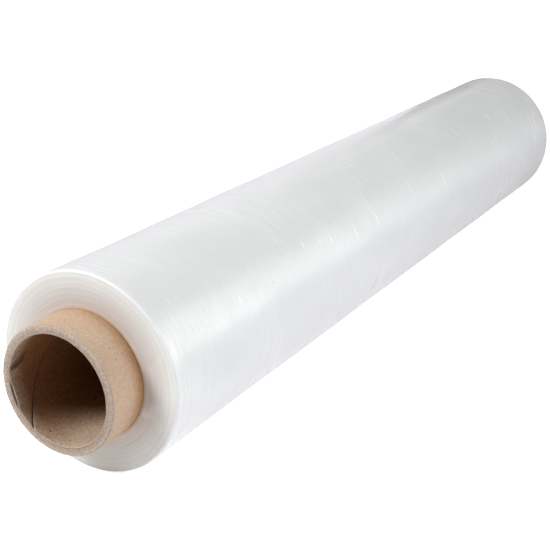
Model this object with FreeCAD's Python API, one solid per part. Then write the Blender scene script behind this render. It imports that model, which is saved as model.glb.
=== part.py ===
"""Stretch wrap roll: clear film wound on a spirally wound paper tube, lying on its side.

Millimetres. +Y runs along the roll from its near end to its far end, +X across it, +Z up.
The origin is on the surface that the roll rests on, below the middle of its length.

Both pieces are modelled standing along Z with their middle at the origin, near end down, and are then laid
on their side. Angles round the roll are in degrees from +X, counted as seen while it stands.
"""

import FreeCAD, Part
import math
import os

from FreeCAD import Vector

# Wound film
film_width = 500.0           # width of the web, and so the length of the wound film
film_diameter = 92.0         # outside of the last turn
flat_spot_width = 13.0       # where the roll lies, its soft turns flatten over this width
turn_bundle = 1.0            # thickness of a bundle of turns that shows as one ring on the ends
web_wander = 0.24            # how far the bundles stray sideways, from the lowest to the highest
rim_bevel = 0.6              # slope where the outermost turns draw in at both ends

# Paper tube
core_bore = 50.0             # inside diameter
core_wall = 4.0              # all plies together
core_stub = 20.0             # bare tube past the film at each end
cut_edge = 0.25              # edges pressed in by the knife that cut the tube to length

# Plies of the tube, wound as helical strips whose edges meet in butt joints
winding_angle = 50.5         # between the joints and the tube's axis
inner_ply = 0.5              # thickness of the innermost strip, and so the depth of its joint
inner_joint_gap = 0.9
inner_joint_angle = 125.0    # where the joint leaves the near mouth
outer_ply = 0.2              # thickness of the outermost strip
outer_joint_gap = 2.2
outer_joint_angle = -76.0

# Tear in the innermost strip, a patch that widens from the near mouth inwards
tear_width = 3.5             # at the mouth
tear_end_width = 6.0         # at its inner end
tear_depth = 9.0
tear_lean = 3.6              # how far the inner end lies to one side of the mouth's
tear_angle = 190.0

# Stretch of the near mouth where the innermost strip has come away from the wall
lift_gap = 0.7               # widest opening of the crack behind it
lift_depth = 6.0
lift_angle = 164.0           # the middle of the stretch
lift_spread = 30.0           # from one end of it to the other

overrun = 2.0                # how far a cutter runs past the face that it leaves

film_radius = film_diameter / 2
bore_radius = core_bore / 2
core_radius = bore_radius + core_wall
core_length = film_width + 2 * core_stub
near_mouth = -core_length / 2
joint_lead = math.pi * core_bore / math.tan(math.radians(winding_angle))
axis_height = math.sqrt(film_radius ** 2 - (flat_spot_width / 2) ** 2)


def on_circle(radius, degrees):
    angle = math.radians(degrees)
    return Vector(radius * math.cos(angle), radius * math.sin(angle), 0)


def revolved(outline):
    """The ring whose section has its corners at these (radius, height) points."""
    corners = [Vector(radius, 0, height) for radius, height in outline]
    section = Part.Face(Part.makePolygon(corners + corners[:1]))
    return section.revolve(Vector(0, 0, 0), Vector(0, 0, 1), 360)


def joint_cutter(low_radius, high_radius, gap, mouth_angle):
    """The opening of a butt joint: a band along the tube's helix that runs out past both mouths."""
    middle = (low_radius + high_radius) / 2
    helix_slope = math.atan(joint_lead / (2 * math.pi * middle))
    half_height = gap / math.cos(helix_slope) / 2
    section = [
        Vector(low_radius, 0, -half_height),
        Vector(high_radius, 0, -half_height),
        Vector(high_radius, 0, half_height),
        Vector(low_radius, 0, half_height),
    ]
    helix = Part.Wire(Part.makeHelix(joint_lead, core_length + 2 * overrun, middle).Edges)
    band = helix.makePipeShell([Part.makePolygon(section + section[:1])], True, True)
    band.rotate(Vector(0, 0, 0), Vector(0, 0, 1), mouth_angle - 360 * overrun / joint_lead)
    band.translate(Vector(0, 0, near_mouth - overrun))
    return band


def tear_cutter():
    """A patch seen from inside the bore, pushed out through the wall no further than the innermost strip."""
    corners = [
        Vector(0, -tear_width / 2, near_mouth),
        Vector(0, tear_width / 2, near_mouth),
        Vector(0, tear_lean + tear_end_width / 2, near_mouth + tear_depth),
        Vector(0, tear_lean - tear_end_width / 2, near_mouth + tear_depth),
    ]
    patch = Part.Face(Part.makePolygon(corners + corners[:1])).extrude(Vector(core_radius, 0, 0))
    patch.rotate(Vector(0, 0, 0), Vector(0, 0, 1), tear_angle)
    strip_reach = Part.makeCylinder(bore_radius + inner_ply, core_length, Vector(0, 0, near_mouth))
    return patch.common(strip_reach)


def lift_cutter():
    """A crescent between the innermost strip and the ply behind it, sunk into the near mouth."""
    behind_strip = bore_radius + inner_ply
    start = on_circle(behind_strip, lift_angle - lift_spread / 2)
    end = on_circle(behind_strip, lift_angle + lift_spread / 2)
    strip_side = Part.Arc(start, on_circle(behind_strip, lift_angle), end).toShape()
    wall_side = Part.Arc(end, on_circle(behind_strip + lift_gap, lift_angle), start).toShape()
    crescent = Part.Face(Part.Wire([strip_side, wall_side]))
    crescent.translate(Vector(0, 0, near_mouth - overrun))
    return crescent.extrude(Vector(0, 0, lift_depth + overrun))


def paper_tube():
    far_mouth = -near_mouth
    wall = revolved(
        [
            (bore_radius, near_mouth + cut_edge),
            (bore_radius + cut_edge, near_mouth),
            (core_radius - cut_edge, near_mouth),
            (core_radius, near_mouth + cut_edge),
            (core_radius, far_mouth - cut_edge),
            (core_radius - cut_edge, far_mouth),
            (bore_radius + cut_edge, far_mouth),
            (bore_radius, far_mouth - cut_edge),
        ]
    )
    inner_joint = joint_cutter(
        bore_radius - inner_ply, bore_radius + inner_ply, inner_joint_gap, inner_joint_angle
    )
    outer_joint = joint_cutter(
        core_radius - outer_ply, core_radius + outer_ply, outer_joint_gap, outer_joint_angle
    )
    for cutter in (inner_joint, outer_joint, tear_cutter(), lift_cutter()):
        wall = wall.cut(cutter)
    return wall


def bundle_shift(index):
    """How far a bundle of turns has strayed along the roll, uneven from one bundle to the next."""
    golden_angle = math.pi * (3 - math.sqrt(5))
    return web_wander / 2 * math.sin(golden_angle * (index + 1))


def wound_film():
    """The wound web as one solid, with its bundles of turns as steps on both ends.

    Every bundle has the web's full width, so one that stands out at the near end stands in by as much at the
    far end.
    """
    bundles = max(2, round((film_radius - core_radius) / turn_bundle))
    thickness = (film_radius - core_radius) / bundles
    near_steps = []
    far_steps = []
    for index in range(bundles):
        shift = bundle_shift(index)
        inside = core_radius + index * thickness
        for radius in (inside, inside + thickness):
            near_steps.append((radius, -film_width / 2 + shift))
            far_steps.append((radius, film_width / 2 + shift))

    bevel = min(rim_bevel, 0.9 * thickness)
    near_face = near_steps.pop()[1]
    far_face = far_steps.pop()[1]
    near_steps += [(film_radius - bevel, near_face), (film_radius, near_face + bevel)]
    far_steps += [(film_radius - bevel, far_face), (film_radius, far_face - bevel)]
    return revolved(near_steps + far_steps[::-1])


def laid_down(shape):
    """Turns a standing shape onto its side along +Y, its axis above the resting surface."""
    shape.rotate(Vector(0, 0, 0), Vector(1, 0, 0), -90)
    shape.translate(Vector(0, 0, axis_height))
    return shape


def flattened(shape):
    """Takes off what would reach below the resting surface, which leaves the flat spot."""
    below = Part.makeBox(2 * film_diameter, 2 * core_length, film_diameter)
    below.translate(Vector(-film_diameter, -core_length, -film_diameter))
    return shape.cut(below)


parts = {
    "core_tube": laid_down(paper_tube()),
    "film_roll": flattened(laid_down(wound_film())),
}

os.makedirs("parts", exist_ok=True)
for name, shape in parts.items():
    solids = shape.Solids
    assert len(solids) == 1 and solids[0].isValid(), name
    solids[0].exportStep(f"parts/{name}.step")
    print(name, "volume", round(solids[0].Volume / 1000, 1), "cm3, faces", len(solids[0].Faces))
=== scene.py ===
import math

import bpy
import numpy as np
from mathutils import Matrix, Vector


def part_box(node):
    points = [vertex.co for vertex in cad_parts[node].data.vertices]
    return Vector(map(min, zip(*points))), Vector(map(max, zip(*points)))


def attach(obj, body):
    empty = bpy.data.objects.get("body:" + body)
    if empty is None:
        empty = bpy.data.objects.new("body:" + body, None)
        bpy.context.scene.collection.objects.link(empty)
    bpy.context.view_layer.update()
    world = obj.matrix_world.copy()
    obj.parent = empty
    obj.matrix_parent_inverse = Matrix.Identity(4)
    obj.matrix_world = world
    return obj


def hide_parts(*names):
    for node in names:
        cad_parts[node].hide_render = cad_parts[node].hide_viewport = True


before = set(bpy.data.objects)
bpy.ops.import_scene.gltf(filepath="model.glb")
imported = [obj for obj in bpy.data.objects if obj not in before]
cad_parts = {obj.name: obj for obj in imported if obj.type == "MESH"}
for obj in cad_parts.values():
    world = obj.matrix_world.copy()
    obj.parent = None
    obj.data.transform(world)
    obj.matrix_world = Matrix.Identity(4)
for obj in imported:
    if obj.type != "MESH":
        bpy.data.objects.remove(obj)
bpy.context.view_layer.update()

# The wound film: a web of clear stretch film, about 170 m long, wound under tension on the paper tube. The
# turns cling together into one milky body. Their edges show as faint rings on both ends, and thin and thick
# lanes of the web, tension lines and small puckers show on the barrel.
film_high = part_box("film_roll")[1]
tube_low, tube_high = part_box("core_tube")
axis_height = (tube_low.z + tube_high.z) / 2
tube_radius = (tube_high.z - tube_low.z) / 2
film_radius = film_high.z - axis_height
web_half = 0.25              # half the web's width, which is half the length of the wound film
bundle = 0.001               # turns that stray together and stand out as one ring
wander = 0.00007             # how far the bundles stray, from the lowest to the highest
ripples = 2.3                # fine ripples in each bundle
ripple_share = 0.12          # their height beside that of the bundles
rim_round = 0.0012
fade_length = 0.004          # beside each rim the relief of the barrel dies out over this length
slow_waves = 30
lanes = 50
puckers = 320
relief_seed = 11
film_columns = 120
barrel_rows = 620
face_rows = 69
rim_rows = 6

# Thick lanes in places of their own, as (place along the roll, height), and two leaning puckers, as (angle
# in degrees, place along the roll, lean, half length round the roll in radians). All have the same width.
placed_lanes = [(-0.0565, 0.00003), (0.0435, 0.00003), (0.0475, 0.00002), (0.2375, 0.00005)]
placed_puckers = [(80, -0.0550, -0.008, 0.22), (77, -0.0812, -0.018, 0.13)]
placed_width = 0.0011
placed_pucker_height = 0.00001


def closed_ring(name, radius, along, angle):
    """A ring about the roll's axis, from arrays with a row for each place on its outline and a column for
    each angle. A point is at (radius cos angle, along, axis height + radius sin angle), and never below the
    floor. Rows and columns both close on themselves, so the surface has no edge."""
    rows, columns = radius.shape
    height = np.maximum(axis_height + radius * np.sin(angle), 0.0)
    points = np.stack([radius * np.cos(angle), along, height], axis=-1).reshape(-1, 3)
    index = np.arange(rows * columns).reshape(rows, columns)
    next_row = np.roll(index, -1, axis=0)
    corner = np.roll(next_row, -1, axis=1)
    next_column = np.roll(index, -1, axis=1)
    quads = np.stack([index, next_row, corner, next_column], axis=-1).reshape(-1, 4)
    mesh = bpy.data.meshes.new(name)
    mesh.from_pydata(points.tolist(), [], quads.tolist())
    mesh.shade_smooth()
    piece = bpy.data.objects.new(name, mesh)
    bpy.context.scene.collection.objects.link(piece)
    return piece


def bundle_shift(radius):
    """How far the turns at a radius stand out: a sine of the bundle's number times the golden angle, eased
    from one bundle to the next over the outer half of each, with fine ripples on it."""
    place = (radius - tube_radius) / bundle
    number = np.floor(place)
    golden_angle = math.pi * (3 - math.sqrt(5))
    here = np.sin(golden_angle * (number + 1))
    following = np.sin(golden_angle * (number + 2))
    step = np.clip((place - number - 0.5) / 0.5, 0, 1)
    ripple = ripple_share * np.sin(2 * math.pi * place * ripples)
    return wander / 2 * (here + (following - here) * step ** 2 * (3 - 2 * step) + ripple)


def bell(value, middle, spread):
    """A bell curve, e to minus the square of the distance from its middle in spreads."""
    return np.exp(-(((value - middle) / spread) ** 2))


def wrapped(angle):
    """An angle brought between minus and plus half a turn."""
    return (angle + math.pi) % (2 * math.pi) - math.pi


def pucker(along, turn, middle, lean, length, height, width):
    """A narrow ridge: its height times a bell curve along the roll, whose middle leans as it runs round the
    roll, times a bell curve round the roll."""
    return height * bell(along, middle + lean * turn, width) * bell(turn, 0, length)


def lanes_and_puckers(along, angle):
    """Relief of the barrel, a sum of slow waves that are whole round the roll, of lanes that run round it
    where the web is thick or thin, and of puckers. Some lanes and puckers have places of their own."""
    chance = np.random.default_rng(relief_seed)
    relief = np.zeros_like(along)
    for _ in range(slow_waves):
        waves_round = chance.integers(1, 14)
        wavelength = chance.uniform(0.04, 0.2)
        phase_round, phase_along = chance.uniform(0, 2 * math.pi, 2)
        swell = chance.uniform(0.000015, 0.00004)
        wave_round = np.sin(waves_round * angle + phase_round)
        relief += swell * wave_round * np.sin(2 * math.pi * along / wavelength + phase_along)
    for _ in range(lanes):
        lane = chance.uniform(-web_half, web_half) + chance.uniform(-0.002, 0.002) * np.sin(angle)
        height = chance.uniform(-0.00001, 0.00002)
        relief += height * bell(along, lane, chance.uniform(0.001, 0.004))
    for lane, height in placed_lanes:
        relief += height * bell(along, lane, placed_width)
    for _ in range(puckers):
        middle = chance.uniform(-web_half, web_half)
        turn = wrapped(angle - chance.uniform(-math.pi, math.pi))
        length = chance.uniform(0.05, 0.2)
        lean = chance.uniform(-0.004, 0.004)
        height = chance.uniform(0.000001, 0.000005)
        width = chance.uniform(0.0009, 0.0014)
        relief += pucker(along, turn, middle, lean, length, height, width)
    for degrees, middle, lean, length in placed_puckers:
        turn = wrapped(angle - math.radians(degrees))
        relief += pucker(along, turn, middle, lean, length, placed_pucker_height, placed_width)
    return relief


def film_mesh():
    """The outline runs out over the near end, round its rim, along the barrel and back in over the far end,
    and closes along the tube. The relief is added to the radius of the barrel."""
    angle = np.linspace(-math.pi, math.pi, film_columns, endpoint=False)
    face_radius = np.linspace(tube_radius, film_radius - rim_round, face_rows)
    bend = np.linspace(0, math.pi / 2, rim_rows + 1)[1:-1]
    near_radius = np.concatenate([face_radius, film_radius - rim_round + rim_round * np.sin(bend)])
    set_back = np.concatenate([np.zeros(face_rows), rim_round - rim_round * np.cos(bend)])
    barrel = np.linspace(-web_half + rim_round, web_half - rim_round, barrel_rows)
    shift = bundle_shift(near_radius)
    near_along = -web_half + set_back + shift
    far_along = web_half - set_back + shift
    outline_radius = np.concatenate([near_radius, np.full(barrel_rows, film_radius), near_radius[::-1]])
    outline_along = np.concatenate([near_along, barrel, far_along[::-1]])
    radius = np.repeat(outline_radius[:, None], film_columns, axis=1)
    along = np.repeat(outline_along[:, None], film_columns, axis=1)
    angles = np.repeat(angle[None, :], len(outline_radius), axis=0)
    on_barrel = slice(len(near_radius), len(near_radius) + barrel_rows)
    fade = np.clip((web_half - np.abs(along[on_barrel])) / fade_length, 0, 1)
    radius[on_barrel] += fade * lanes_and_puckers(along[on_barrel], angles[on_barrel])
    return closed_ring("wound_film", radius, along, angles)


def put(tree, kind, inputs=None, **settings):
    """Adds a node to a tree, with its settings, its values and the sockets that feed it."""
    node = tree.nodes.new(kind)
    for name, value in settings.items():
        setattr(node, name, value)
    for name, value in (inputs or {}).items():
        if isinstance(value, bpy.types.NodeSocket):
            tree.links.new(value, node.inputs[name])
        else:
            node.inputs[name].default_value = value
    return node


def maths(tree, operation, first, second, **settings):
    """A sum, product or the like of two values."""
    return put(tree, "ShaderNodeMath", {0: first, 1: second}, operation=operation, **settings).outputs[0]


def vector_maths(tree, operation, inputs, output="Vector"):
    """The same for places and colours."""
    return put(tree, "ShaderNodeVectorMath", inputs, operation=operation).outputs[output]


def carried(tree, value, old, new, **settings):
    """A value carried from one range, as (from, to), to another, and held at its ends."""
    inputs = {"Value": value, "From Min": old[0], "From Max": old[1], "To Min": new[0], "To Max": new[1]}
    return put(tree, "ShaderNodeMapRange", inputs, **settings).outputs["Result"]


def blend(tree, share, first, second):
    """The second colour laid over the first by a share."""
    mixed = put(tree, "ShaderNodeMix", {"Factor": share, "A": first, "B": second}, data_type="RGBA")
    return mixed.outputs["Result"]


def ramp(tree, factor, stops):
    """A colour ramp through (place, colour) stops."""
    node = put(tree, "ShaderNodeValToRGB", {"Fac": factor})
    band = node.color_ramp
    while len(band.elements) < len(stops):
        band.elements.new(0.5)
    for element, (place, colour) in zip(band.elements, stops):
        element.position = place
        element.color = (*colour, 1)
    return node.outputs["Color"]


def blank_material(name):
    """A new material, its node tree and its Principled shader."""
    material = bpy.data.materials.new(name)
    material.use_nodes = True
    return material, material.node_tree, material.node_tree.nodes["Principled BSDF"]


def new_group(name, inputs, outputs):
    """A shader node group with its sockets, and its input and output nodes."""
    tree = bpy.data.node_groups.new(name, "ShaderNodeTree")
    for label, kind, value in inputs:
        socket = tree.interface.new_socket(label, in_out="INPUT", socket_type=kind)
        if value is not None:
            socket.default_value = value
    for label, kind in outputs:
        tree.interface.new_socket(label, in_out="OUTPUT", socket_type=kind)
    return tree, tree.nodes.new("NodeGroupInput").outputs, tree.nodes.new("NodeGroupOutput").inputs


def use_group(tree, group, inputs):
    """Places a node group in a tree."""
    return put(tree, "ShaderNodeGroup", inputs, node_tree=group).outputs


def tension_lines_group():
    """Noise drawn out round the roll: many changes along it, few round it."""
    tree, given, result = new_group(
        "tension_lines",
        [
            ("Vector", "NodeSocketVector", None),
            ("Lines Along", "NodeSocketFloat", 900.0),
            ("Changes Around", "NodeSocketFloat", 40.0),
            ("Detail", "NodeSocketFloat", 3.0),
        ],
        [("Height", "NodeSocketFloat")],
    )
    around = given["Changes Around"]
    stretch = put(tree, "ShaderNodeCombineXYZ", {"X": around, "Y": given["Lines Along"], "Z": around})
    place = vector_maths(tree, "MULTIPLY", {0: given["Vector"], 1: stretch.outputs[0]})
    noise = put(
        tree,
        "ShaderNodeTexNoise",
        {"Vector": place, "Scale": 1.0, "Detail": given["Detail"], "Roughness": 0.6},
    )
    tree.links.new(noise.outputs["Fac"], result["Height"])
    return tree


def spot_group():
    """A soft spot: full round its centre, and gone at the distance that Size gives along each axis."""
    tree, given, result = new_group(
        "spot",
        [
            ("Vector", "NodeSocketVector", None),
            ("Centre", "NodeSocketVector", (0, 0, 0)),
            ("Size", "NodeSocketVector", (0.001, 0.001, 0.001)),
        ],
        [("Mask", "NodeSocketFloat")],
    )
    away = vector_maths(tree, "SUBTRACT", {0: given["Vector"], 1: given["Centre"]})
    shares = vector_maths(tree, "DIVIDE", {0: away, 1: given["Size"]})
    distance = vector_maths(tree, "LENGTH", {0: shares}, "Value")
    mask = carried(tree, distance, (0.3, 1.0), (1.0, 0.0), interpolation_type="SMOOTHSTEP")
    tree.links.new(mask, result["Mask"])
    return tree


tension_lines = tension_lines_group()
spot = spot_group()


def spots(tree, place, marks, surface_radius):
    """The sum of soft spots on a round surface. A mark gives its angle in degrees, its place along the roll
    in metres, and its half length round the roll and half width along it in millimetres."""
    total = None
    for degrees, along, half_length, half_width in marks:
        turn = math.radians(degrees)
        centre = (surface_radius * math.cos(turn), along, axis_height + surface_radius * math.sin(turn))
        size = (half_length / 1000, half_width / 1000, half_length / 1000)
        mask = use_group(tree, spot, {"Vector": place, "Centre": centre, "Size": size})["Mask"]
        total = mask if total is None else maths(tree, "ADD", total, mask)
    return total


# Tones of the film from the tube out to the barrel, with painted shade close to the tube, and the painted
# glints and the specks on it.
# Greyer and warmer towards the tube: partly the tube showing through the film, partly painted shade close to
# it.
milky_tones_and_shade = [
    (0.0, (0.80, 0.61, 0.45)),
    (0.06, (0.70, 0.61, 0.54)),
    (0.17, (0.66, 0.605, 0.57)),
    (0.3, (0.67, 0.635, 0.61)),
    (0.5, (0.70, 0.68, 0.66)),
    (0.65, (0.755, 0.745, 0.725)),
    (0.82, (0.79, 0.79, 0.77)),
    (0.97, (0.79, 0.80, 0.793)),
]
# Painted glints: short bright marks where the highlight falls on the barrel.
glint_marks = [
    (36.6, -0.127, 3.2, 0.8),
    (30.3, -0.102, 3.6, 0.7),
    (33.0, -0.112, 2.4, 0.6),
    (28.0, -0.192, 3.0, 0.7),
    (51.6, 0.158, 5.0, 1.8),
    (25.0, 0.046, 11.0, 0.8),
    (31.7, 0.0013, 8.5, 0.6),
    (27.0, -0.050, 5.0, 0.7),
    (27.0, -0.0765, 6.0, 0.6),
    (48.0, 0.239, 6.0, 1.6),
    (36.0, 0.2335, 6.0, 1.7),
    (24.0, 0.2275, 6.0, 1.7),
    (12.0, 0.2215, 6.0, 1.6),
]
speck_marks = [(26.5, -0.1635, 0.5, 0.6), (59.8, 0.0158, 0.7, 0.8), (34.2, -0.070, 0.6, 0.7)]
# The white of trapped air in streaks, which the painted glints use too.
streak_and_glint_white = (0.93, 0.93, 0.93, 1)
speck_grey = (0.5, 0.5, 0.48, 1)
plain_coat = 0.38


def film_material():
    """Milky from its many turns, greyer and warmer towards the tube that shows through the ends and with
    painted shade close to it, with rings of turns that differ a little. Where air is trapped between turns it
    whitens in short streaks, painted glints whiten it where the highlight falls, and where the turns cling
    tight it is glossier."""
    material, tree, surface = blank_material("stretch_film")
    place = put(tree, "ShaderNodeTexCoord").outputs["Object"]
    centred = vector_maths(tree, "SUBTRACT", {0: place, 1: (0, 0, axis_height)})
    across = vector_maths(tree, "MULTIPLY", {0: centred, 1: (1, 0, 1)})
    radius = vector_maths(tree, "LENGTH", {0: across}, "Value")
    body = ramp(tree, carried(tree, radius, (tube_radius, film_radius), (0.0, 1.0)), milky_tones_and_shade)

    fine = use_group(
        tree, tension_lines, {"Vector": place, "Lines Along": 1300.0, "Changes Around": 70.0}
    )["Height"]
    broad = use_group(
        tree, tension_lines, {"Vector": place, "Lines Along": 160.0, "Changes Around": 26.0}
    )["Height"]
    clouds = use_group(
        tree, tension_lines, {"Vector": place, "Lines Along": 22.0, "Changes Around": 30.0, "Detail": 4.0}
    )["Height"]
    clung = use_group(
        tree, tension_lines, {"Vector": place, "Lines Along": 520.0, "Changes Around": 45.0, "Detail": 2.0}
    )["Height"]

    haze = carried(tree, clouds, (0.3, 0.7), (0.97, 1.02))
    turns = put(
        tree, "ShaderNodeTexNoise", {"W": radius, "Scale": 800.0, "Detail": 3.0}, noise_dimensions="1D"
    ).outputs["Fac"]
    rings = carried(tree, turns, (0.3, 0.7), (0.965, 1.03))
    ringed = vector_maths(tree, "MULTIPLY", {0: body, 1: rings})
    tint = vector_maths(tree, "MULTIPLY", {0: ringed, 1: haze})
    dashes = carried(tree, fine, (0.56, 0.74), (0.0, 1.0))
    patches = carried(tree, clouds, (0.45, 0.65), (0.1, 0.8))
    streaks = maths(tree, "MULTIPLY", dashes, patches)
    # Streaks of trapped air, and the painted glints.
    streaks_and_glints = maths(tree, "ADD", streaks, spots(tree, place, glint_marks, film_radius), use_clamp=True)
    whitened = blend(tree, streaks_and_glints, tint, streak_and_glint_white)
    specked = blend(tree, spots(tree, place, speck_marks, film_radius), whitened, speck_grey)
    tree.links.new(specked, surface.inputs["Base Color"])

    tree.links.new(carried(tree, broad, (0.3, 0.7), (0.29, 0.40)), surface.inputs["Roughness"])
    shallow = put(tree, "ShaderNodeBump", {"Height": broad, "Strength": 0.2, "Distance": 0.0006})
    lines = put(
        tree,
        "ShaderNodeBump",
        {"Height": fine, "Strength": 0.4, "Distance": 0.0003, "Normal": shallow.outputs[0]},
    )
    tree.links.new(lines.outputs[0], surface.inputs["Normal"])
    shine = maths(tree, "MULTIPLY", carried(tree, clung, (0.46, 0.66), (0.0, 1.0)), patches)
    coat = maths(tree, "ADD", shine, plain_coat, use_clamp=True)
    tree.links.new(coat, surface.inputs["Coat Weight"])
    surface.inputs["IOR"].default_value = 1.5
    surface.inputs["Specular IOR Level"].default_value = 0.25
    surface.inputs["Coat Roughness"].default_value = 0.25
    surface.inputs["Subsurface Weight"].default_value = 0.35
    surface.inputs["Subsurface Radius"].default_value = (1.0, 0.95, 0.9)
    surface.inputs["Subsurface Scale"].default_value = 0.006
    return material


film = film_mesh()
film.data.materials.append(film_material())
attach(film, "root")
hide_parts("film_roll")

# The paper tube: strips of grey board and a tan kraft cover, wound as helices on a mandrel, glued and cut to
# length with a knife. The joints of the cover and of the innermost strip show as helical lines. At the near
# mouth the innermost strip is torn, and has come away from the wall over a short stretch.
bore_radius = 0.025
winding_angle = 50.5         # between the joints and the tube's axis
joint_lead = math.pi * 2 * bore_radius / math.tan(math.radians(winding_angle))
tube_length = tube_high.y - tube_low.y
tube_half = tube_length / 2
stub = tube_half - web_half
covered_length = tube_length - 2 * stub
cut_edge = 0.00025           # edges pressed in by the knife
ragged_cut = 0.00003         # how rough the cut ends are along the tube
cut_seed = 5

# The joint of the innermost strip and that of the cover: where each leaves the near mouth, how deep it is,
# and half its opening, with the width over which its sides run down.
inner_joint = math.radians(-125)
inner_ply = 0.0005
inner_opening = 0.00062
inner_side = 0.00017
inner_floor = 0.0005         # half the part of the opening whose floor is painted dark as shade
cover_joint = math.radians(76)
cover_ply = 0.0002
cover_opening = 0.0011
cover_side = 0.00025
cover_lip = 0.0002           # half the width of the pale lips beside the opening

# The stretch of the innermost strip that has come away from the wall, and the tear beside it.
lift_angle = math.radians(197)
lift_spread = math.radians(12)
lift_depth = 0.009
lift_lean = 0.0012
crack_depth = 0.005
crack_open = 0.0004          # the crack is at its full depth where the strip leans by this much
notch_depth = 0.0012
torn_reach = np.array([0.0, 0.002, 0.004, 0.006, 0.008, 0.009, 0.0097])
torn_low_side = np.radians([174.0, 172.8, 171.6, 170.4, 168.0, 163.0, 156.0])
torn_high_side = np.radians([166.0, 162.3, 158.8, 156.2, 154.6, 154.2, 155.5])
torn_power = 0.7             # keeps the patch deep until close to its high side


def winding_turn(depth):
    """How far a helical joint has turned at a depth from the near mouth: a full turn back for each lead."""
    return -2 * math.pi * depth / joint_lead


def lifted_strip(angle, depth):
    """How far the innermost strip leans into the bore: a bell with a flat top round the stretch that came
    away, which dies out with depth."""
    turn = wrapped(angle - lift_angle)
    return lift_lean * np.exp(-((turn / lift_spread) ** 4)) * np.exp(-((depth / lift_depth) ** 2))


def torn_patch(angle, depth):
    """Share of the innermost strip that is torn out: the patch lies between two sides that close at its tip,
    deep and sharp on the low side and running out to nothing on the high one."""
    low = np.interp(depth, torn_reach, torn_low_side)
    high = np.interp(depth, torn_reach, torn_high_side)
    share = wrapped(angle - high) / np.maximum(low - high, 0.01)
    return np.where((share > 0) & (share < 1) & (depth < torn_reach[-1]), share, 0) ** torn_power


def tube_columns():
    """Angles of the columns at the near mouth: even ones all round, one for each degree about the tear and
    the lifted strip, and the joints' own, from which the others keep clear."""
    clear_of_joints = 0.012
    least_step = 0.0035
    plain = np.linspace(-math.pi, math.pi, 90, endpoint=False)
    mouth = np.radians(np.arange(146, 252, 1.0))
    inner_columns = inner_joint + np.array([-1.5, -0.62, -0.45, 0.45, 0.62, 1.5]) / 1000 / bore_radius
    cover_columns = cover_joint + np.array([-1.4, -1.1, -0.85, 0.85, 1.1, 1.4]) / 1000 / tube_radius
    joints = np.concatenate([inner_columns, cover_columns])
    column = np.sort(wrapped(np.concatenate([plain, mouth])))
    nearest = np.abs(wrapped(column[:, None] - joints[None, :])).min(axis=1)
    column = np.sort(np.concatenate([column[nearest > clear_of_joints], wrapped(joints)]))
    return column[np.concatenate([[True], np.diff(column) > least_step])]


def cover_rows():
    """Depths of the cover's rows, and how far the columns have turned there. They follow the winding on both
    stubs. Below the film, where nothing shows, they turn evenly and by less than half a turn."""
    near_stub = np.linspace(cut_edge, stub, 26)
    covered = np.linspace(stub, tube_length - stub, 18)[1:-1]
    far_stub = tube_length - near_stub[::-1]
    depth = np.concatenate([near_stub, covered, far_stub])
    turn = winding_turn(depth)
    covered_turn = winding_turn(covered_length)
    hidden_turn = wrapped(covered_turn)
    turn[len(near_stub) :] += hidden_turn - covered_turn
    share = (covered - stub) / covered_length
    turn[len(near_stub) : -len(far_stub)] = winding_turn(stub) + hidden_turn * share
    return depth, turn


def bore_rows():
    """Depths of the bore's rows, from the far mouth back to the near one, where they crowd round the tear."""
    torn = np.arange(cut_edge, 0.014, 0.0005)
    seen = np.arange(0.014, 0.06, 0.0018)
    deeper = np.linspace(0.06, tube_length - cut_edge, 150)
    return np.concatenate([torn, seen, deeper])[::-1]


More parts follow.
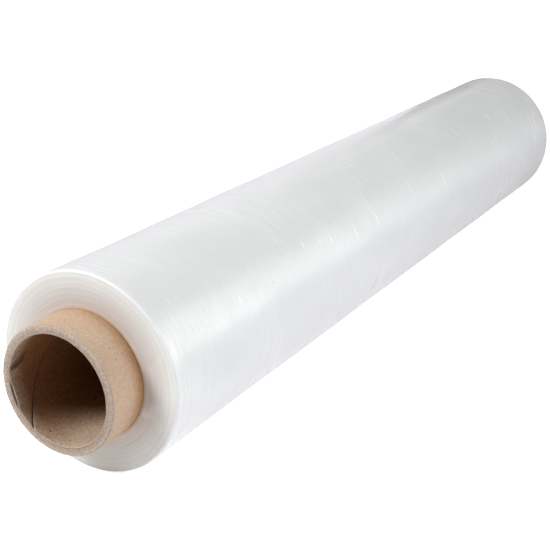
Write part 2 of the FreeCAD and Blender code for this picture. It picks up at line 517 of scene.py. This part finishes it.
def tube_mesh():
    """The outline runs out over the near cut end, along the cover, in over the far cut end and back through
    the bore, and the columns follow the winding. The wall is thinner at both joints and at the tear, and the
    strip leans inwards where it has come away. Points carry the shares of painted shade and pale lips, of
    painted shade beside the film and pale plies, and of painted shade in the bore."""
    column = tube_columns()
    cover_depth, cover_turn = cover_rows()
    bore_depth = bore_rows()
    ply_rows = np.array([0.25, 0.36, 0.47, 0.49, 0.51, 0.53, 0.7, 0.9, 1.15, 1.5, 1.9, 2.3, 2.8, 3.3]) / 1000
    end_radius = bore_radius + np.append(ply_rows, tube_radius - bore_radius - cut_edge)
    ends = len(end_radius)
    covers = len(cover_depth)
    bores = len(bore_depth)
    outline_radius = np.concatenate(
        [end_radius, np.full(covers, tube_radius), end_radius[::-1], np.full(bores, bore_radius)]
    )
    outline_depth = np.concatenate([np.zeros(ends), cover_depth, np.full(ends, tube_length), bore_depth])
    outline_turn = np.concatenate(
        [np.zeros(ends), cover_turn, np.full(ends, cover_turn[-1]), winding_turn(bore_depth)]
    )
    radius = np.repeat(outline_radius[:, None], len(column), axis=1)
    depth = np.repeat(outline_depth[:, None], len(column), axis=1)
    angle = wrapped(column[None, :] + outline_turn[:, None])
    near = slice(0, ends)
    cover = slice(ends, ends + covers)
    far = slice(ends + covers, 2 * ends + covers)
    bore = slice(2 * ends + covers, None)

    in_joint = wrapped(column - inner_joint) * bore_radius
    radius[bore] += inner_ply * np.clip((inner_opening - np.abs(in_joint)) / inner_side, 0, 1)
    torn = torn_patch(angle[bore], depth[bore])
    radius[bore] += inner_ply * torn - lifted_strip(angle[bore], depth[bore])
    on_joint = wrapped(column - cover_joint) * tube_radius
    radius[cover] -= cover_ply * np.clip((cover_opening - np.abs(on_joint)) / cover_side, 0, 1)

    # At the near mouth the rows of the innermost strip lean with it, the two rows where it meets the next
    # ply sink in as a crack, and the torn part is notched. The cut is ragged, apart from the rows there.
    loose = end_radius[:, None] < bore_radius + inner_ply
    cracked = np.abs(end_radius[:, None] - bore_radius - inner_ply) < 0.000015
    opening = np.clip(lifted_strip(angle[near], 0.0) / crack_open, 0, 1)
    depth[near] += np.where(cracked, crack_depth * opening, 0)
    radius[near] -= np.where(loose, lifted_strip(angle[near], depth[near]), 0)
    notch = torn_patch(angle[near], np.zeros_like(angle[near]))
    depth[near] += np.where(loose & ~cracked, notch_depth * notch, 0)
    chance = np.random.default_rng(cut_seed)
    ragged = chance.normal(0, ragged_cut, (2 * ends, len(column)))
    ragged[np.abs(np.tile(end_radius, 2) - bore_radius - inner_ply) < 0.00005] = 0
    depth[near] += ragged[:ends]
    depth[far] += ragged[ends:]
    piece = closed_ring("paper_tube", radius, depth - tube_half, angle)

    # Which paper a row shows, as a place in the list of materials: the cover, the cut board, the bore.
    paper = np.full(len(outline_radius), 1)
    paper[cover] = 0
    paper[bore] = 2
    piece.data.polygons.foreach_set("material_index", np.repeat(paper, len(column)).astype(np.int32))

    # Shade and lips: painted shade in the tear, on the floor of the inner joint and in the parting at the
    # mouth, and the pale lips of the cover's joint.
    shade_and_lips = np.zeros_like(radius)
    shade_and_lips[bore] = torn + 0.9 * (np.abs(in_joint) < inner_floor)
    shade_and_lips[cover] = np.abs(np.abs(on_joint) - cover_opening) < cover_lip
    parting = bell(end_radius[:, None], bore_radius + inner_ply, 0.00006)
    shade_and_lips[near] = parting * np.maximum(bell(wrapped(angle[near] - math.radians(-78)), 0, 0.7), opening)

    # Bore shade: painted shade, the paper darker and browner from close to the mouth on, but only deep in
    # along the bottom, which the key lamp lights further in.
    bore_shade = np.zeros_like(radius)
    upper = 1 - 0.95 * bell(wrapped(angle[bore] - math.radians(-82)), 0, math.radians(33))
    shallow = np.clip((depth[bore] + 0.001) / 0.009, 0, 1)
    deep = np.clip((depth[bore] - 0.028) / 0.02, 0, 1)
    bore_shade[bore] = shallow * upper + deep * (1 - upper)

    # Film shade and pale plies: painted shade on the cover beside the film, most on the side that faces +X,
    # and the paler outer plies of the near end, paler still at top and bottom as painted light.
    film_shade_and_pale_plies = np.zeros_like(radius)
    film_side = np.clip(0.42 + 0.6 * np.cos(angle[cover] - math.radians(15)), 0.15, 1)
    from_film = np.abs(depth[cover] - tube_half) - web_half
    film_shade_and_pale_plies[cover] = np.clip(1 - np.maximum(from_film, 0) / 0.014, 0, 1) ** 2.5 * film_side
    outer_plies = np.clip((end_radius[:, None] - bore_radius - 0.0016) / 0.0016, 0, 1)
    above = bell(wrapped(angle[near] - math.radians(100)), 0, 0.9)
    below = bell(wrapped(angle[near] - math.radians(-105)), 0, 0.7)
    film_shade_and_pale_plies[near] = outer_plies * (0.45 + 0.55 * (above + below))
    for label, share in (("shade_and_lips", shade_and_lips), ("film_shade_and_pale_plies", film_shade_and_pale_plies), ("bore_shade", bore_shade)):
        places = piece.data.attributes.new(label, "FLOAT", "POINT")
        places.data.foreach_set("value", share.ravel().astype(np.float32))
    return piece


def paper_fibre_group():
    """Paper stock: soft mottling of the pulp, with dark fibres scattered over it."""
    tree, given, result = new_group(
        "paper_fibre",
        [
            ("Vector", "NodeSocketVector", None),
            ("Colour", "NodeSocketColor", (0.5, 0.4, 0.3, 1)),
            ("Dark Fibre", "NodeSocketColor", (0.2, 0.15, 0.1, 1)),
            ("Mottle", "NodeSocketFloat", 0.1),
            ("Fibres", "NodeSocketFloat", 0.3),
            ("Size", "NodeSocketFloat", 1.0),
        ],
        [("Colour", "NodeSocketColor"), ("Height", "NodeSocketFloat")],
    )
    place = vector_maths(tree, "SCALE", {0: given["Vector"], 3: given["Size"]})
    pulp = put(
        tree, "ShaderNodeTexNoise", {"Vector": place, "Scale": 700.0, "Detail": 4.0, "Roughness": 0.65}
    ).outputs["Fac"]
    threads = put(
        tree,
        "ShaderNodeTexNoise",
        {"Vector": place, "Scale": 1500.0, "Detail": 3.0, "Roughness": 0.7, "Distortion": 2.0},
    ).outputs["Fac"]
    low = maths(tree, "SUBTRACT", 1.0, given["Mottle"])
    high = maths(tree, "ADD", 1.0, given["Mottle"])
    body = vector_maths(
        tree, "MULTIPLY", {0: given["Colour"], 1: carried(tree, pulp, (0.3, 0.7), (low, high))}
    )
    share = maths(tree, "MULTIPLY", carried(tree, threads, (0.58, 0.7), (0.0, 1.0)), given["Fibres"])
    tree.links.new(blend(tree, share, body, given["Dark Fibre"]), result["Colour"])
    tree.links.new(threads, result["Height"])
    return tree


paper_fibre = paper_fibre_group()


def paper_material(name, colour, dark, mottle, fibres, size, relief, layers, marks=(), marks_radius=0.0):
    """Paper of one colour, with other colours laid over it by the shares that the points carry, dark fibres
    and grain all over, and small dark marks."""
    material, tree, surface = blank_material(name)
    place = put(tree, "ShaderNodeTexCoord").outputs["Object"]
    stock = (*colour, 1)
    for label, layer in layers.items():
        share = put(tree, "ShaderNodeAttribute", attribute_name=label).outputs["Fac"]
        stock = blend(tree, share, stock, (*layer, 1))
    paper = use_group(
        tree,
        paper_fibre,
        {
            "Vector": place,
            "Colour": stock,
            "Dark Fibre": (*dark, 1),
            "Mottle": mottle,
            "Fibres": fibres,
            "Size": size,
        },
    )
    shown = paper["Colour"]
    if marks:
        shown = blend(tree, spots(tree, place, marks, marks_radius), shown, (*dark, 1))
    tree.links.new(shown, surface.inputs["Base Color"])
    bump = put(tree, "ShaderNodeBump", {"Height": paper["Height"], "Strength": relief, "Distance": 0.0003})
    tree.links.new(bump.outputs[0], surface.inputs["Normal"])
    tree.links.new(carried(tree, paper["Height"], (0.3, 0.7), (0.72, 0.88)), surface.inputs["Roughness"])
    surface.inputs["Specular IOR Level"].default_value = 0.15
    return material


cover_marks = [(44.4, -0.2604, 0.5, 0.5), (34.0, -0.2609, 0.5, 0.5)]
bore_marks = [
    (-112.8, -0.2649, 0.6, 0.9),
    (-88.9, -0.2645, 0.5, 0.5),
    (-117.4, -0.2321, 0.8, 1.2),
    (-119.8, -0.2393, 0.7, 1.0),
]
kraft_cover = paper_material(
    "kraft_cover",
    colour=(0.55, 0.40, 0.285),
    dark=(0.36, 0.24, 0.14),
    mottle=0.14,
    fibres=0.5,
    size=1.2,
    relief=0.15,
    # The pale lips of the cover's joint, and painted shade on the cover beside the film.
    layers={"shade_and_lips": (0.68, 0.56, 0.45), "film_shade_and_pale_plies": (0.42, 0.215, 0.085)},
    marks=cover_marks,
    marks_radius=tube_radius,
)
cut_board = paper_material(
    "cut_board",
    colour=(0.44, 0.345, 0.28),
    dark=(0.17, 0.125, 0.09),
    mottle=0.3,
    fibres=0.7,
    size=1.7,
    relief=0.7,
    # Painted shade in the parting at the mouth, and the paler outer plies with painted light at top and
    # bottom.
    layers={"shade_and_lips": (0.10, 0.065, 0.05), "film_shade_and_pale_plies": (0.58, 0.49, 0.41)},
)
bore_liner = paper_material(
    "bore_liner",
    colour=(0.53, 0.40, 0.295),
    dark=(0.09, 0.05, 0.03),
    mottle=0.33,
    fibres=0.6,
    size=1.4,
    relief=0.4,
    # Painted shade deep in the bore, in the tear and on the floor of the inner joint.
    layers={"bore_shade": (0.27, 0.12, 0.05), "shade_and_lips": (0.10, 0.06, 0.05)},
    marks=bore_marks,
    marks_radius=bore_radius,
)
tube = tube_mesh()
for paper in (kraft_cover, cut_board, bore_liner):
    tube.data.materials.append(paper)
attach(tube, "root")
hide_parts("core_tube")

# The floor: a plain white sheet that runs out of sight, with the roll lying on it. It shows white away from
# the roll and keeps the roll's soft shadow close to it.
floor_reach = 20.0
floor_drop = 0.0002


def white_backdrop(tree, level):
    """A strength that only the camera, reflections and clear things see."""
    path = put(tree, "ShaderNodeLightPath").outputs
    seen = maths(tree, "MAXIMUM", path["Is Camera Ray"], path["Is Glossy Ray"])
    shown = maths(tree, "MAXIMUM", seen, path["Is Transmission Ray"])
    return maths(tree, "MULTIPLY", shown, level)


def floor_material():
    """Matt white that glows by itself, a little less within 1 m of the roll's middle, so that the shadow
    shows there."""
    material, tree, surface = blank_material("white_floor")
    surface.inputs["Base Color"].default_value = (0.86, 0.86, 0.86, 1)
    surface.inputs["Roughness"].default_value = 0.9
    surface.inputs["Specular IOR Level"].default_value = 0.2
    place = put(tree, "ShaderNodeTexCoord").outputs["Object"]
    distance = vector_maths(tree, "LENGTH", {0: place}, "Value")
    level = carried(tree, distance, (0.3, 1.0), (0.72, 1.0))
    surface.inputs["Emission Color"].default_value = (1, 1, 1, 1)
    tree.links.new(white_backdrop(tree, level), surface.inputs["Emission Strength"])
    return material


def flat_sheet(name, corners, material):
    """A single face with these corners."""
    mesh = bpy.data.meshes.new(name)
    mesh.from_pydata(corners, [], [(0, 1, 2, 3)])
    mesh.materials.append(material)
    sheet = bpy.data.objects.new(name, mesh)
    bpy.context.scene.collection.objects.link(sheet)
    return sheet


floor_corners = [
    (-floor_reach, -floor_reach, -floor_drop),
    (floor_reach, -floor_reach, -floor_drop),
    (floor_reach, floor_reach, -floor_drop),
    (-floor_reach, floor_reach, -floor_drop),
]
floor = flat_sheet("floor", floor_corners, floor_material())

# Lamps: five soft square panels that face the near end. The key lamp is high in front on the left, and a
# weaker one stands low on the left. Of the three on the right, one is high, one is low and cooler, and a
# faint one stands a little further to the front.
near_end = Vector((0, -web_half, axis_height))


def soft_panel(name, azimuth, elevation, distance, width, level, colour=(1, 1, 1)):
    """A square lamp that faces the near end from an azimuth, in degrees from +Y towards +X, and an elevation.
    Its level is what a mirror would show of it, where 1 is white."""
    turn = math.radians(azimuth)
    rise = math.radians(elevation)
    out = Vector((math.sin(turn) * math.cos(rise), math.cos(turn) * math.cos(rise), math.sin(rise)))
    lamp = bpy.data.lights.new(name, "AREA")
    lamp.shape = "SQUARE"
    lamp.size = width
    lamp.energy = level * math.pi * width * width
    lamp.color = colour
    panel = bpy.data.objects.new(name, lamp)
    panel.location = near_end + distance * out
    panel.rotation_euler = out.to_track_quat("Z", "Y").to_euler()
    bpy.context.scene.collection.objects.link(panel)


soft_panel("key", -141, 45, 1.4, 0.6, 16.0)
soft_panel("left", -100, 20, 1.4, 0.6, 5.0)
soft_panel("right_high", 75, 45, 1.0, 0.5, 4.3, (0.985, 1.0, 0.99))
soft_panel("right_low", 78, 15, 0.9, 0.45, 2.87, (0.94, 0.915, 1.0))
soft_panel("right_front", 100, 25, 0.7, 0.35, 1.2)

# Cards that only reflections see. On the left a lilac one and, past it, a grey one lean away from the roll,
# and give the barrel's top edge its outline. One stands far behind, a bright one behind on the right, and
# one lies on the floor along the right side.
border_low = (-0.06, 0.24, 0.001)
border_high = (-0.9, 1.82, 0.7)
lilac_corners = [(-0.06, -0.8, 0.001), border_low, border_high, (-0.9, -0.8, 0.7)]
grey_corners = [border_low, (-0.06, 2.2, 0.001), (-0.9, 2.2, 0.7), border_high]
back_corners = [(-0.4, 1.5, 0.0), (0.62, 1.5, 0.0), (0.62, 1.5, 1.0), (-0.4, 1.5, 1.0)]
bright_corners = [(0.9, 0.2, 0.05), (0.9, 2.2, 0.05), (0.9, 2.2, 0.9), (0.9, 0.2, 0.9)]
right_corners = [(0.02, -0.249, 0.001), (0.88, -0.249, 0.001), (0.88, 2.4, 0.001), (0.02, 2.4, 0.001)]


def reflected_card(name, corners, colour, levels, places=(-0.3, 1.0)):
    """A matt card with these corners. Its glow changes evenly along Y from the first level, at the first
    place, to the second."""
    stock, tree, surface = blank_material(name)
    surface.inputs["Base Color"].default_value = (0.1, 0.1, 0.1, 1)
    surface.inputs["Roughness"].default_value = 0.9
    surface.inputs["Emission Color"].default_value = (*colour, 1)
    place = put(tree, "ShaderNodeTexCoord").outputs["Object"]
    along = put(tree, "ShaderNodeSeparateXYZ", {0: place}).outputs["Y"]
    tree.links.new(carried(tree, along, places, levels), surface.inputs["Emission Strength"])
    card = flat_sheet(name, corners, stock)
    card.visible_camera = False
    card.visible_diffuse = False
    card.visible_shadow = False


reflected_card("lilac_card", lilac_corners, (0.90, 0.86, 1.0), (0.35, 0.95), (-0.3, 0.3))
reflected_card("grey_card", grey_corners, (1, 1, 1), (0.1, 0.1))
reflected_card("back_card", back_corners, (1, 1, 1), (0.48, 0.48))
reflected_card("bright_card", bright_corners, (1, 1, 1), (5.8, 0.7), (0.4, 1.9))
reflected_card("right_card", right_corners, (0.96, 0.95, 1.0), (1.22, 0.64), (-0.2, 0.3))

# The room: a faint even light from all round, which the camera, reflections and clear things see as white.
# Colours are shown as they are written.
room_level = 0.05
world = bpy.data.worlds.new("room")
world.use_nodes = True
room = world.node_tree
backdrop = white_backdrop(room, 1.0 - room_level)
strength = maths(room, "ADD", backdrop, room_level)
room.links.new(strength, room.nodes["Background"].inputs["Strength"])
room.nodes["Background"].inputs["Color"].default_value = (1, 1, 1, 1)
bpy.context.scene.world = world
bpy.context.scene.view_settings.view_transform = "Standard"

# The camera: 0.6 m from the near half of the roll, to its right and a little above, with a long lens. Its
# place and lens were fitted to the ellipses of the tube and the film.
camera_azimuth = math.radians(29.67)
camera_elevation = math.radians(20.24)
camera_distance = 0.6104
camera_target = Vector((0, -0.0898, 0.0386))
camera_lens = bpy.data.cameras.new("camera")
camera_lens.lens = 73.85
camera_lens.sensor_width = 36
camera = bpy.data.objects.new("camera", camera_lens)
towards_viewer = Vector(
    (
        math.sin(camera_azimuth) * math.cos(camera_elevation),
        -math.cos(camera_azimuth) * math.cos(camera_elevation),
        math.sin(camera_elevation),
    )
)
camera.location = camera_target + camera_distance * towards_viewer
camera.rotation_euler = towards_viewer.to_track_quat("Z", "Y").to_euler()
bpy.context.scene.collection.objects.link(camera)
bpy.context.scene.camera = camera
